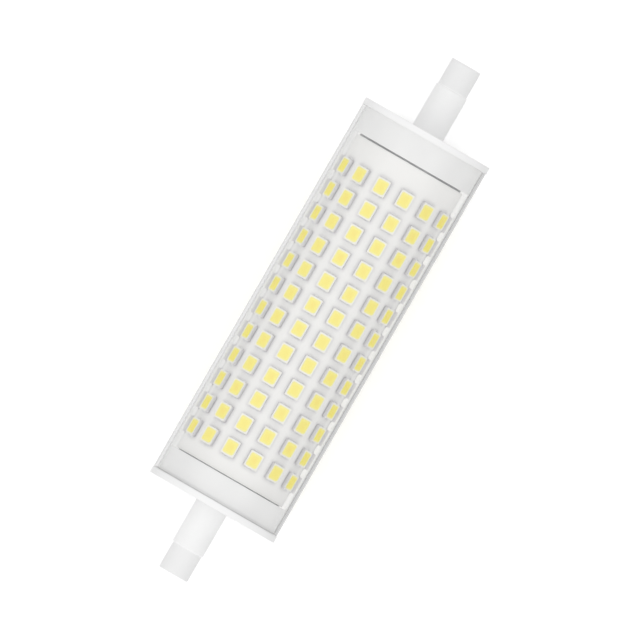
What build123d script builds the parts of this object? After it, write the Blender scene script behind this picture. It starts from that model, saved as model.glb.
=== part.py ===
from build123d import *
import os
from math import cos, radians, tan

# Double-ended linear LED lamp. The lamp's axis is X, its front faces +Z and its middle is the origin.
# Every size is in millimetres. Radial sizes are worked out from the clear tube inwards.

# Whole lamp and its clear tube
overall_length = 118.0
tube_outer_radius = 14.25
tube_wall = 0.75

# Lamp bases: the tip that a holder grips, and the thicker post that stands in the end cap
tip_radius = 3.275
tip_length = 5.8
tip_edge = 0.25
post_step = 0.225
post_length = 9.75
post_entry = 3.45

# Recesses in the tips, and the contacts just below their floors
recess_radius = 2.0
recess_depth = 1.8
contact_radius = 1.5
contact_sink = 0.1
contact_length = 6.0

# End caps: a flange disc that closes the tube and a collar inside it
flange_thickness = 1.45
flange_overhang = 0.1
collar_reach = 5.42

# Fits between pieces
slip_fit = 0.1
press_fit = 0.02
end_play = 0.3
solder_gap = 0.02
adhesive_gap = 0.05

# Rolled LED board
board_thickness = 0.55
right_slit = 0.4
left_slit = 0.18
seam_gap = 1.5

# LEDs: a white housing, and the phosphor in its window, which stands a hair proud
led_length = 3.5
led_width = 2.8
led_height = 0.65
led_clearance = 0.6
rim_at_ends = 0.32
rim_at_sides = 0.22
phosphor_height = 0.03
row_pitch = 5.495
first_row_inset = 6.87
last_row_inset = 4.0
column_angle = 24.0
seam_margin_angle = 17.0

# Rolled metal tube under the board, and the insulating film folded to a six-sided sleeve inside it
heat_sink_wall = 1.0
sleeve_wall = 0.4
sleeve_sides = 6
sleeve_gap = 4.0

# Driver board
driver_thickness = 1.2
driver_edge = 1.0

# Wires to the contacts, and square pins to the LED board
contact_lead_radius = 0.8
contact_lead_foot = 4.0
led_pin_side = 0.8
led_pin_insets = (1.8, 4.0)
led_pin_proud = 0.3

# Driver components on the upper side of the board
fuse_radius = 1.2
fuse_length = 6.0
film_length = 5.0
film_width = 8.0
film_height = 6.5
film_edge = 0.6
bulk_radius = 4.0
bulk_length = 12.0
choke_size = 7.0
choke_height = 5.0
choke_edge = 1.0
output_radius = 2.5
output_height = 6.0

# Driver components on the lower side of the board
package_standoff = 0.15
package_edge = 0.3
leg_thickness = 0.2
leg_width = 0.5
leg_reach = 1.0
leg_foot = 0.6
bridge_size = (4.7, 3.8, 2.3)
bridge_leg_pitch = 2.5
chip_size = (4.9, 3.9, 1.45)
chip_leg_pitch = 1.27
diode_size = (4.3, 2.6, 2.1)
resistor_size = (1.6, 3.2, 0.55)
resistor_pitch = 2.6
resistor_count = 2

# Places along the lamp
flange_face = overall_length / 2 - tip_length - post_length
tube_end = flange_face - flange_thickness
collar_rim = tube_end - collar_reach
board_right = collar_rim - right_slit
board_left = -(collar_rim - left_slit)
post_end = flange_face - post_entry
driver_end = post_end - end_play
recess_floor = overall_length / 2 - recess_depth
contact_face = recess_floor - contact_sink
contact_end = contact_face - contact_length

# Radii, from the clear tube inwards
tube_inner_radius = tube_outer_radius - tube_wall
flange_radius = tube_outer_radius + flange_overhang
led_top_radius = tube_inner_radius - led_clearance
housing_top_radius = led_top_radius - phosphor_height
led_base_radius = housing_top_radius - led_height
board_outer_radius = led_base_radius - solder_gap
board_inner_radius = board_outer_radius - board_thickness
heat_sink_outer_radius = board_inner_radius - adhesive_gap
heat_sink_inner_radius = heat_sink_outer_radius - heat_sink_wall
sleeve_outer_radius = heat_sink_inner_radius - slip_fit
sleeve_inner_radius = sleeve_outer_radius - sleeve_wall / cos(radians(180 / sleeve_sides))
collar_outer_radius = tube_inner_radius - slip_fit
collar_inner_radius = heat_sink_outer_radius + slip_fit
post_radius = tip_radius + post_step
post_hole_radius = post_radius + press_fit
contact_bore_radius = contact_radius + press_fit

# Driver board, just under the contact leads and held in the sleeve's two side folds
driver_top = -contact_lead_radius - solder_gap
driver_underside = driver_top - driver_thickness
fold_slope = tan(radians(180 / sleeve_sides))
driver_half_width = sleeve_inner_radius + driver_underside * fold_slope - slip_fit

# LED rows along the lamp and columns round it
led_field = board_right - board_left - first_row_inset - last_row_inset
row_count = int(led_field / row_pitch) + 1
first_row = board_right - first_row_inset
middle_row = first_row - (row_count - 1) * row_pitch / 2
column_pairs = int((180 - seam_margin_angle) / column_angle + 0.5)
column_angles = [(pair + 0.5) * column_angle for pair in range(-column_pairs, column_pairs)]

# LED pins, straight from the driver board out through the seam
led_pin_places = [board_right - inset for inset in led_pin_insets]
led_pin_end = -board_outer_radius - led_pin_proud


def pipe(start, end, outer_radius, inner_radius):
    """Straight round tube along X."""
    with BuildPart() as made:
        with BuildSketch(Plane.YZ.offset(start)):
            Circle(outer_radius)
            Circle(inner_radius, mode=Mode.SUBTRACT)
        extrude(amount=end - start)
    return made.part


def turned(outline):
    """Solid turned about X from an outline of places along X and radii."""
    with BuildPart() as made:
        with BuildSketch(Plane.XZ):
            with BuildLine():
                Polyline(*outline, close=True)
            make_face()
        revolve(axis=Axis.X)
    return made.part


def rod(start, end, radius):
    """Straight round bar on the lamp's axis."""
    with BuildPart() as made:
        with BuildSketch(Plane.YZ.offset(start)):
            Circle(radius)
        extrude(amount=end - start)
    return made.part


def back_seam(width):
    """Cutter for a gap along the whole back of a tube."""
    with BuildPart() as made:
        with BuildSketch(Plane.XY.offset(-tube_outer_radius)):
            Rectangle(2 * tube_end, width)
        extrude(amount=tube_outer_radius)
    return made.part


def led_blocks(level, length, width, height):
    """One column of blocks at the LEDs' places along the front, standing on a level."""
    with BuildPart() as made:
        with BuildSketch(Plane.XY.offset(level)):
            with Locations((middle_row, 0)):
                with GridLocations(row_pitch, 0, row_count, 1):
                    Rectangle(length, width)
        extrude(amount=height)
    return made.part


def round_the_board(column):
    """A column of the front, repeated at each column's angle round the board."""
    with BuildPart() as made:
        with Locations(*[Location((0, 0, 0), (angle, 0, 0)) for angle in column_angles]):
            add(column)
    return made.part


def led_pin(place):
    """Square pin from the driver board's lower side to just past the LED board."""
    with BuildPart() as made:
        with BuildSketch(Plane.XY.offset(led_pin_end)):
            with Locations((place, 0)):
                Rectangle(led_pin_side, led_pin_side)
        extrude(amount=driver_underside - led_pin_end)
    return made.part


def spread(start, end, lengths):
    """Middles of pieces laid in a row from start to end, with the same space round each."""
    space = (end - start - sum(lengths)) / (len(lengths) + 1)
    middles = []
    edge = start + space
    for length in lengths:
        middles.append(edge + length / 2)
        edge += length + space
    return middles


def end_cap_outline():
    """Section of the right end cap: a flange disc with a collar on its inner side."""
    return [
        (flange_face, post_hole_radius),
        (flange_face, flange_radius),
        (tube_end, flange_radius),
        (tube_end, collar_outer_radius),
        (collar_rim, collar_outer_radius),
        (collar_rim, collar_inner_radius),
        (tube_end, collar_inner_radius),
        (tube_end, post_hole_radius),
    ]


def base_outline():
    """Section of the right lamp base, with the recess in its tip and the contact's bore."""
    tip_end = overall_length / 2
    shoulder = tip_end - tip_length
    return [
        (post_end, contact_bore_radius),
        (post_end, post_radius),
        (shoulder - post_step, post_radius),
        (shoulder, tip_radius),
        (tip_end - tip_edge, tip_radius),
        (tip_end, tip_radius - tip_edge),
        (tip_end, recess_radius),
        (recess_floor, recess_radius),
        (recess_floor, contact_bore_radius),
    ]


def leaded_package(size, leg_pitch, legs_a_side):
    """Moulded package on gull-wing legs, its feet on Z 0 and its long side along X."""
    length, width, height = size
    with BuildPart() as made:
        with BuildSketch(Plane.XY.offset(package_standoff)):
            Rectangle(length, width)
        extrude(amount=height)
        chamfer(made.faces().sort_by(Axis.Z)[-1].edges(), length=package_edge)
        waist = package_standoff + height / 2
        legs_start = -(leg_pitch * (legs_a_side - 1) + leg_width) / 2
        for number in range(legs_a_side):
            with BuildSketch(Plane.YZ.offset(legs_start + number * leg_pitch)):
                with BuildLine():
                    Polyline(
                        (width / 2, waist),
                        (width / 2 + leg_reach - leg_foot, waist),
                        (width / 2 + leg_reach - leg_foot, 0),
                        (width / 2 + leg_reach, 0),
                        (width / 2 + leg_reach, leg_thickness),
                        (width / 2 + leg_reach - leg_foot + leg_thickness, leg_thickness),
                        (width / 2 + leg_reach - leg_foot + leg_thickness, waist + leg_thickness),
                        (width / 2, waist + leg_thickness),
                        close=True,
                    )
                make_face()
                mirror(about=Plane.YZ)
            extrude(amount=leg_width)
    return made.part


def chip_body(size):
    """Plain block of a two-terminal chip, its foot on Z 0."""
    length, width, height = size
    with BuildPart() as made:
        with BuildSketch():
            Rectangle(length, width)
        extrude(amount=height)
    return made.part


def hung(piece, place):
    """A component turned over and soldered to the lower side of the driver board."""
    with BuildPart() as made:
        with Locations(Location((place, 0, driver_underside), (180, 0, 0))):
            add(piece)
    return made.part


# Clear tube, open at both ends, between the two flange discs
with BuildPart() as clear_tube:
    add(pipe(-tube_end, tube_end, tube_outer_radius, tube_inner_radius))

# End caps, one at each end
with BuildPart() as end_caps:
    add(turned(end_cap_outline()))
    mirror(about=Plane.YZ)

# Lamp bases, one in each end cap
with BuildPart() as lamp_bases:
    add(turned(base_outline()))
    mirror(about=Plane.YZ)

# Contacts, sunk in the bases
with BuildPart() as contacts:
    add(rod(contact_end, contact_face, contact_radius))
    mirror(about=Plane.YZ)

# Wires from the contacts to the driver board, lying on it at their ends
with BuildPart() as contact_leads:
    add(rod(driver_end - contact_lead_foot, contact_end, contact_lead_radius))
    mirror(about=Plane.YZ)

# Rolled metal tube that carries the LED board
with BuildPart() as heat_sink_tube:
    add(pipe(-(tube_end - slip_fit), tube_end - slip_fit, heat_sink_outer_radius, heat_sink_inner_radius))
    add(back_seam(seam_gap), mode=Mode.SUBTRACT)

# Insulating sleeve between the metal tube and the driver, open along the back where the LED pins pass
with BuildPart() as driver_sleeve:
    with BuildSketch(Plane.YZ.offset(-driver_end)):
        RegularPolygon(sleeve_outer_radius, sleeve_sides)
        RegularPolygon(sleeve_inner_radius, sleeve_sides, mode=Mode.SUBTRACT)
    extrude(amount=2 * driver_end)
    add(back_seam(sleeve_gap), mode=Mode.SUBTRACT)

# LED board, rolled round the metal tube with its seam at the back
with BuildPart() as led_board:
    add(pipe(board_left, board_right, board_outer_radius, board_inner_radius))
    add(back_seam(seam_gap), mode=Mode.SUBTRACT)

# LEDs: housings on the board, and the phosphor in each housing's window
window_length = led_length - 2 * rim_at_ends
window_width = led_width - 2 * rim_at_sides
with BuildPart() as led_housings:
    add(round_the_board(led_blocks(led_base_radius, led_length, led_width, led_height)))
with BuildPart() as led_phosphors:
    add(round_the_board(led_blocks(housing_top_radius, window_length, window_width, phosphor_height)))

# Driver board, lying across the sleeve with its corners cut
with BuildPart() as driver_board:
    with BuildSketch(Plane.XY.offset(driver_underside)):
        Rectangle(2 * driver_end, 2 * driver_half_width)
    extrude(amount=driver_thickness)
    chamfer(driver_board.edges().filter_by(Axis.Z), length=driver_edge)

# Pins from the driver board to the LED board, out through the seam
with BuildPart() as positive_pin:
    add(led_pin(led_pin_places[0]))
with BuildPart() as negative_pin:
    add(led_pin(led_pin_places[1]))

# Components on the upper side of the driver board, in a row between the contact leads
row_end = driver_end - contact_lead_foot
upper_lengths = [2 * fuse_radius, film_length, bulk_length, choke_size, 2 * output_radius]
fuse_place, film_place, bulk_place, choke_place, output_place = spread(-row_end, row_end, upper_lengths)

# Fusible resistor, a round body lying across the board
with BuildPart() as fuse_resistor:
    with BuildSketch(Plane.XZ):
        with Locations((fuse_place, driver_top + fuse_radius)):
            Circle(fuse_radius)
    extrude(amount=fuse_length / 2, both=True)

# Film capacitor, a moulded box standing on the board
with BuildPart() as film_capacitor:
    with BuildSketch(Plane.XY.offset(driver_top)):
        with Locations((film_place, 0)):
            Rectangle(film_length, film_width)
    extrude(amount=film_height)
    chamfer(film_capacitor.edges().filter_by(Axis.Z), length=film_edge)

# Bulk capacitor, a can lying along the board
with BuildPart() as bulk_capacitor:
    with BuildSketch(Plane.YZ.offset(bulk_place - bulk_length / 2)):
        with Locations((0, driver_top + bulk_radius)):
            Circle(bulk_radius)
    extrude(amount=bulk_length)

# Shielded choke, a square ferrite block with cut corners
with BuildPart() as choke:
    with BuildSketch(Plane.XY.offset(driver_top)):
        with Locations((choke_place, 0)):
            Rectangle(choke_size, choke_size)
    extrude(amount=choke_height)
    chamfer(choke.edges().filter_by(Axis.Z), length=choke_edge)

# Output capacitor, a smaller can standing on the board
with BuildPart() as output_capacitor:
    with BuildSketch(Plane.XY.offset(driver_top)):
        with Locations((output_place, 0)):
            Circle(output_radius)
    extrude(amount=output_height)

# Components on the lower side of the driver board, in a row that ends before the LED pins
lower_end = min(led_pin_places) - led_pin_side / 2
resistor_row = resistor_pitch * (resistor_count - 1) + resistor_size[0]
lower_lengths = [bridge_size[0], chip_size[0], resistor_row, diode_size[0]]
bridge_place, chip_place, resistor_place, diode_place = spread(-lower_end, lower_end, lower_lengths)
with BuildPart() as bridge_rectifier:
    add(hung(leaded_package(bridge_size, bridge_leg_pitch, 2), bridge_place))
with BuildPart() as driver_chip:
    add(hung(leaded_package(chip_size, chip_leg_pitch, 4), chip_place))
with BuildPart() as output_diode:
    add(hung(chip_body(diode_size), diode_place))
with BuildPart() as sense_resistors:
    for number in range(resistor_count):
        offset = (number - (resistor_count - 1) / 2) * resistor_pitch
        add(hung(chip_body(resistor_size), resistor_place + offset))

pieces = {
    "clear_tube": clear_tube,
    "end_caps": end_caps,
    "lamp_bases": lamp_bases,
    "contacts": contacts,
    "contact_leads": contact_leads,
    "heat_sink_tube": heat_sink_tube,
    "led_board": led_board,
    "led_housings": led_housings,
    "led_phosphors": led_phosphors,
    "positive_pin": positive_pin,
    "negative_pin": negative_pin,
    "driver_sleeve": driver_sleeve,
    "driver_board": driver_board,
    "fuse_resistor": fuse_resistor,
    "film_capacitor": film_capacitor,
    "bulk_capacitor": bulk_capacitor,
    "choke": choke,
    "output_capacitor": output_capacitor,
    "bridge_rectifier": bridge_rectifier,
    "driver_chip": driver_chip,
    "output_diode": output_diode,
    "sense_resistors": sense_resistors,
}

os.makedirs("parts", exist_ok=True)
for name, piece in pieces.items():
    piece.part.label = name
    export_step(piece.part, f"parts/{name}.step")
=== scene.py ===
"""Dresses the double-ended LED lamp: clear tube, mouldings, LEDs and every finish, round the frame."""

from __future__ import annotations

import logging
import math
import random
from dataclasses import dataclass, field
from enum import Enum
from typing import Sequence

import bmesh
import bpy
from mathutils import Matrix, Vector

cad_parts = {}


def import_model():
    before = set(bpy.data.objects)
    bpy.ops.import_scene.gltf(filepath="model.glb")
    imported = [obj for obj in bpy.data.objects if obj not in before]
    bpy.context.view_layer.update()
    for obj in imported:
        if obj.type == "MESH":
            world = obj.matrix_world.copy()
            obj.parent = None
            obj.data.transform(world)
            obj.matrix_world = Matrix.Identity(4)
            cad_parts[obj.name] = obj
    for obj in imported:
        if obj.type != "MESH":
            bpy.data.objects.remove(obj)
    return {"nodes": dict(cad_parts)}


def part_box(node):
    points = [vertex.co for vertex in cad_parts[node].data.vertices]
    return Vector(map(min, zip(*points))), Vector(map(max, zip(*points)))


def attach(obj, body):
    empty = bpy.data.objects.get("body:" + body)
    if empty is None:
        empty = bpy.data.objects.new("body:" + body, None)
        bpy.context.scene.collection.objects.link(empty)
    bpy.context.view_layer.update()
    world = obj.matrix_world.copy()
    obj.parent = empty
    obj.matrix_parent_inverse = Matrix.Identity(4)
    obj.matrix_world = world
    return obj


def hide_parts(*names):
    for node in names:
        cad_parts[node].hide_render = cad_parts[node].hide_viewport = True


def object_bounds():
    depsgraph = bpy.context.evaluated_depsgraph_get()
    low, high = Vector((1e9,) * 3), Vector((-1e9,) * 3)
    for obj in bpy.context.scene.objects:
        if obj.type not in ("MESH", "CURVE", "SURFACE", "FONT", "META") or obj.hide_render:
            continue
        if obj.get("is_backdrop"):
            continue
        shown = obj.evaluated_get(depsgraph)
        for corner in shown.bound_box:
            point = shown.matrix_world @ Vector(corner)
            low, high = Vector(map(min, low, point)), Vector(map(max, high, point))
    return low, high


LOG = logging.getLogger("linear_led_lamp")
MM = 0.001
BODY = "root"
LEAST_RADIUS = 1e-7
WINDOW, LOT, REEL = "window", "lot", "reel"

Socket = bpy.types.NodeSocket
Colour = tuple[float, float, float]
Place = tuple[float, float, float]
Point = tuple[float, float]
Range = tuple[float, float]
Ring = Sequence[bmesh.types.BMVert]


class Lines(Enum):
    """Direction of a worked metal's lines, as how much their noise is squeezed along each axis."""

    ALONG = (0.04, 1.0, 1.0)
    ROUND = (1.0, 0.06, 0.06)


class Tone(Enum):
    """Part of an LED's moulding that has its own finish."""

    RIM = 0
    WALL = 1


class ShaderSheet:
    """Short way to lay out one material's nodes."""

    def __init__(self, name: str) -> None:
        """Starts an empty node material.

        Args:
            name: The material's name.
        """
        self.material = bpy.data.materials.new(name)
        self.material.use_nodes = True
        self.start(self.material.node_tree, "ShaderNodeOutputMaterial")

    def start(self, tree: bpy.types.NodeTree, output: str) -> None:
        """Empties a node tree and gives it an output.

        Args:
            tree: The nodes of the material or the world.
            output: Blender's name for the output's node type.
        """
        self.tree = tree
        self.tree.nodes.clear()
        self.output = self.add(output)

    def add(self, kind: str, **settings: object) -> bpy.types.Node:
        """Adds a node.

        Args:
            kind: Blender's name for the node type.
            **settings: Properties set on the node itself.

        Returns:
            The new node.
        """
        node = self.tree.nodes.new(kind)
        for key, value in settings.items():
            setattr(node, key, value)
        return node

    def join(self, source: Socket, target: Socket) -> None:
        """Links two sockets."""
        self.tree.links.new(source, target)

    def show(self, shader: Socket) -> None:
        """Joins a shader to the output."""
        self.join(shader, self.output.inputs["Surface"])

    def feed(self, socket: Socket, value: object) -> None:
        """Gives a socket a link or a plain value.

        Args:
            socket: The input socket.
            value: Another node's output, a number or a colour.
        """
        if isinstance(value, Socket):
            self.join(value, socket)
        elif isinstance(value, tuple) and len(value) == 3 and len(socket.default_value) == 4:
            socket.default_value = (*value, 1.0)
        else:
            socket.default_value = value

    def place(self) -> Socket:
        """The point's place in the lamp's own frame, in metres."""
        return self.add("ShaderNodeTexCoord").outputs["Object"]

    def axes(self, vector: Socket) -> bpy.types.bpy_prop_collection:
        """Takes a vector apart.

        Args:
            vector: The vector's socket.

        Returns:
            The sockets X, Y and Z.
        """
        parts = self.add("ShaderNodeSeparateXYZ")
        self.join(vector, parts.inputs[0])
        return parts.outputs

    def sight(self) -> Socket:
        """Tells sight from light.

        Returns:
            1 where a surface is seen, mirrored or seen through, and 0 where it lights others.
        """
        path = self.add("ShaderNodeLightPath").outputs
        seen = self.maths("MAXIMUM", path["Is Camera Ray"], path["Is Glossy Ray"])
        return self.maths("MAXIMUM", seen, path["Is Transmission Ray"])

    def maths(self, operation: str, *values: object, clamp: bool = False) -> Socket:
        """Adds one sum.

        Args:
            operation: Blender's name for the sum.
            *values: Its terms, each a number or another node's output.
            clamp: Whether the answer is kept between 0 and 1.

        Returns:
            The answer's socket.
        """
        node = self.add("ShaderNodeMath", operation=operation, use_clamp=clamp)
        for socket, value in zip(node.inputs, values):
            self.feed(socket, value)
        return node.outputs[0]

    def diagonal(self, first: object, second: object) -> Socket:
        """The diagonal between two sides at a right angle."""
        squares = [self.maths("POWER", side, 2.0) for side in (first, second)]
        return self.maths("SQRT", self.maths("ADD", *squares))

    def noise(self, scale: float, detail: float = 2.0, stretch: Place = (1.0, 1.0, 1.0)) -> Socket:
        """Adds solid noise in the lamp's frame.

        Args:
            scale: Waves a metre.
            detail: How many finer layers it has.
            stretch: How much each axis is squeezed before it is read.

        Returns:
            The noise's value, from 0 to 1.
        """
        mapping = self.add("ShaderNodeMapping")
        mapping.inputs["Scale"].default_value = stretch
        self.join(self.place(), mapping.inputs["Vector"])
        texture = self.add("ShaderNodeTexNoise")
        texture.inputs["Scale"].default_value = scale
        texture.inputs["Detail"].default_value = detail
        self.join(mapping.outputs[0], texture.inputs["Vector"])
        return texture.outputs[0]

    def ramp(self, value: Socket, *stops: tuple[float, Colour]) -> Socket:
        """Turns a value into a colour.

        Args:
            value: The value, from 0 to 1.
            *stops: Places and colours between which it fades.

        Returns:
            The colour's socket.
        """
        node = self.add("ShaderNodeValToRGB")
        elements = node.color_ramp.elements
        while len(elements) < len(stops):
            elements.new(1.0)
        for element, (place, colour) in zip(elements, stops):
            element.position = place
            element.color = (*colour, 1.0)
        self.join(value, node.inputs[0])
        return node.outputs["Color"]

    def span(self, value: Socket, low: float, high: float,
             source: Range = (0.0, 1.0)) -> Socket:
        """Maps a value to another range.

        Args:
            value: The value.
            low: What the source's low end becomes.
            high: What the source's high end becomes.
            source: The range that the value has.

        Returns:
            The mapped value's socket.
        """
        node = self.add("ShaderNodeMapRange")
        node.inputs["From Min"].default_value, node.inputs["From Max"].default_value = source
        node.inputs["To Min"].default_value, node.inputs["To Max"].default_value = low, high
        self.join(value, node.inputs["Value"])
        return node.outputs[0]

    def blend(self, share: object, first: object, second: object) -> Socket:
        """Mixes two colours.

        Args:
            share: How much of the second shows.
            first: A colour or a colour's socket.
            second: A colour or a colour's socket.

        Returns:
            The mixed colour's socket.
        """
        node = self.add("ShaderNodeMix", data_type="RGBA")
        self.feed(node.inputs[0], share)
        self.feed(node.inputs[6], first)
        self.feed(node.inputs[7], second)
        return node.outputs[2]

    def bump(self, height: Socket, depth: float) -> Socket:
        """Turns a height into a normal.

        Args:
            height: The height, from 0 to 1.
            depth: What a height of 1 measures, in metres.

        Returns:
            The normal's socket.
        """
        node = self.add("ShaderNodeBump")
        node.inputs["Distance"].default_value = depth
        self.join(height, node.inputs["Height"])
        return node.outputs[0]

    def glow(self, strength: Socket) -> Socket:
        """Adds a plain white glow.

        Args:
            strength: Its strength, where 1 is white.

        Returns:
            The glow's shader socket.
        """
        node = self.add("ShaderNodeEmission")
        self.join(strength, node.inputs["Strength"])
        return node.outputs[0]

    def surface(self, colour: object, roughness: object, **sockets: object) -> bpy.types.Node:
        """Adds the main shader and joins it to the output.

        Args:
            colour: The base colour.
            roughness: The roughness.
            **sockets: Other sockets of the shader, with underscores for spaces.

        Returns:
            The shader's node.
        """
        shader = self.add("ShaderNodeBsdfPrincipled")
        self.feed(shader.inputs["Base Color"], colour)
        self.feed(shader.inputs["Roughness"], roughness)
        for key, value in sockets.items():
            self.feed(shader.inputs[key.replace("_", " ")], value)
        self.show(shader.outputs[0])
        return shader


class SkySheet(ShaderSheet):
    """The same layout for the nodes of the room's light."""

    def __init__(self, name: str) -> None:
        """Starts an empty world and puts the scene in it.

        Args:
            name: The world's name.
        """
        world = bpy.data.worlds.new(name)
        world.use_nodes = True
        self.start(world.node_tree, "ShaderNodeOutputWorld")
        bpy.context.scene.world = world


@dataclass(frozen=True)
class Finish:
    """What every finish has: a name, and its own way to lay out its nodes."""

    name: str

    def lay(self, sheet: ShaderSheet) -> None:
        """Lays out the finish's nodes on a sheet."""
        raise NotImplementedError(self.name)

    def make(self) -> bpy.types.Material:
        """Builds the material.

        Returns:
            The material.
        """
        sheet = ShaderSheet(self.name)
        self.lay(sheet)
        return sheet.material


@dataclass(frozen=True)
class MouldedPlastic(Finish):
    """Moulded plastic or fine ceramic: faint flow clouds, a fine grain and uneven gloss."""

    pale: Colour
    deep: Colour
    gloss: Range = (0.38, 0.5)
    cloud_scale: float = 160.0
    grain_scale: float = 5200.0
    grain_depth: float = 0.01 * MM
    end_tone: Colour | None = None
    end_from: float = 0.0
    end_fade: float = 0.4 * MM

    def lay(self, sheet: ShaderSheet) -> None:
        """Lays out the nodes, with another tone near the lamp's ends where there is one.

        Args:
            sheet: The material's nodes.
        """
        cloud = sheet.noise(self.cloud_scale, 3.0)
        grain = sheet.noise(self.grain_scale)
        colour = sheet.ramp(cloud, (0.3, self.deep), (0.7, self.pale))
        # Another tone near the lamp's ends: on the caps' flange discs it is painted light.
        if self.end_tone:
            along = sheet.maths("ABSOLUTE", sheet.axes(sheet.place())["X"])
            share = sheet.span(along, 0.0, 1.0, (self.end_from, self.end_from + self.end_fade))
            clouded = sheet.maths("MULTIPLY", share, sheet.span(cloud, 0.5, 1.0))
            colour = sheet.blend(clouded, colour, self.end_tone)
        gloss = sheet.span(sheet.noise(self.cloud_scale * 3), *self.gloss)
        sheet.surface(colour, gloss, Normal=sheet.bump(grain, self.grain_depth))


@dataclass(frozen=True)
class WhiteMask(Finish):
    """White solder mask, satin and wavy: painted shade round each LED's foot, and greyer over the columns'
    copper, partly the copper's own tone and partly painted shade between the LEDs.
    """

    bare: Colour
    # Greyer tone over the columns: partly the copper's own tone under the mask, partly painted shade between
    # the LEDs.
    copper_and_painted_shade: Colour
    # Colour of the painted shade round each LED's foot.
    painted_foot_shade: Colour
    row_pitch: float
    first_row: float
    last_row: float
    column_angle: float
    column_count: int
    led_length: float
    led_width: float
    board_radius: float
    # How far the painted shade round each LED's foot reaches.
    painted_foot_shade_reach: float = 0.9 * MM
    copper_half: float = 0.9 * MM
    copper_fade: float = 2.0 * MM
    copper_height: float = 0.02 * MM
    row_fade: float = 0.5 * MM
    column_fade: float = 0.04
    cloud_scale: float = 220.0
    cloud_share: float = 0.1
    wave_scale: float = 900.0
    wave_share: float = 0.4
    gloss_scale: float = 700.0
    gloss: Range = (0.34, 0.48)

    def field(self, sheet: ShaderSheet, along: Socket,
              angle: Socket) -> Socket:
        """Marks the stretch of the board that carries LEDs.

        Args:
            sheet: The material's nodes.
            along: The place along the lamp.
            angle: The angle from the lamp's front, in radians.

        Returns:
            1 in the LEDs' field, fading to 0 past its last rows and columns.
        """
        middle = (self.first_row + self.last_row) / 2
        half_run = (self.first_row - self.last_row + self.row_pitch) / 2
        from_middle = sheet.maths("ABSOLUTE", sheet.maths("SUBTRACT", along, middle))
        in_rows = sheet.span(from_middle, 1.0, 0.0, (half_run - self.row_fade, half_run))
        last_angle = math.radians(self.column_angle) * self.column_count / 2
        from_front = sheet.maths("ABSOLUTE", angle)
        in_columns = sheet.span(from_front, 1.0, 0.0, (last_angle - self.column_fade, last_angle))
        return sheet.maths("MULTIPLY", in_rows, in_columns)

    def off_column(self, sheet: ShaderSheet, angle: Socket) -> Socket:
        """Measures how far a point is from the nearest column's middle.

        Args:
            sheet: The material's nodes.
            angle: The angle from the lamp's front, in radians.

        Returns:
            The distance round the board.
        """
        column_half = math.radians(self.column_angle) * self.board_radius / 2
        arc = sheet.maths("MULTIPLY", angle, self.board_radius)
        return sheet.maths("SUBTRACT", column_half, sheet.maths("PINGPONG", arc, column_half))

    def lay(self, sheet: ShaderSheet) -> None:
        """Lays out the nodes.

        Args:
            sheet: The material's nodes.
        """
        place = sheet.axes(sheet.place())
        angle = sheet.maths("ARCTAN2", place["Y"], place["Z"])
        inside = self.field(sheet, place["X"], angle)
        from_row = sheet.maths("SUBTRACT", place["X"], self.first_row)
        off_row = sheet.maths("PINGPONG", from_row, self.row_pitch / 2)
        off_column = self.off_column(sheet, angle)
        clear = [sheet.maths("MAXIMUM", sheet.maths("SUBTRACT", off, size / 2), 0.0)
                 for off, size in ((off_row, self.led_length), (off_column, self.led_width))]
        # Painted shade: the mask darkens close round each LED's foot.
        near = sheet.span(sheet.diagonal(*clear), 1.0, 0.0, (0.0, self.painted_foot_shade_reach))
        painted_foot_shade_share = sheet.maths("MULTIPLY", sheet.maths("MULTIPLY", near, near), inside)
        # Greyer over each column: partly the copper under the mask, partly painted shade between the LEDs of
        # a column.
        copper = sheet.span(off_column, 1.0, 0.0, (self.copper_half, self.copper_fade))
        cloud = sheet.span(sheet.noise(self.cloud_scale, 3.0), -self.cloud_share, self.cloud_share)
        copper_and_shade_share = sheet.maths("MULTIPLY", sheet.maths("ADD", copper, cloud), inside, clamp=True)
        plain = sheet.blend(copper_and_shade_share, self.bare, self.copper_and_painted_shade)
        wave = sheet.span(sheet.noise(self.wave_scale), 0.0, self.wave_share)
        sheet.surface(sheet.blend(painted_foot_shade_share, plain, self.painted_foot_shade),
                      sheet.span(sheet.noise(self.gloss_scale), *self.gloss),
                      Normal=sheet.bump(sheet.maths("ADD", wave, copper), self.copper_height))


@dataclass(frozen=True)
class ShadedLedWall(Finish):
    """Side of an LED's moulding, painted greyer than its rim and darker still towards its soldered foot, as
    painted shade.
    """

    # The wall's colours at its top and at its foot, both greyer than the rim as painted shade.
    top: Colour
    foot: Colour
    foot_radius: float = 12.22 * MM
    height: float = 0.69 * MM
    speck_scale: float = 1800.0
    speck_share: float = 0.12
    speck_depth: float = 0.008 * MM
    gloss: Range = (0.48, 0.66)

    def lay(self, sheet: ShaderSheet) -> None:
        """Lays out the nodes.

        Args:
            sheet: The material's nodes.
        """
        place = sheet.axes(sheet.place())
        radius = sheet.diagonal(place["Y"], place["Z"])
        # Painted shade: the wall's colour darkens from its top down to its foot.
        rise = sheet.span(radius, 0.0, 1.0, (self.foot_radius, self.foot_radius + self.height))
        speck = sheet.noise(self.speck_scale, 3.0)
        share = sheet.maths("ADD", rise, sheet.span(speck, -self.speck_share, self.speck_share), clamp=True)
        sheet.surface(sheet.blend(share, self.foot, self.top), sheet.span(speck, *self.gloss),
                      Normal=sheet.bump(speck, self.speck_depth))


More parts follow.
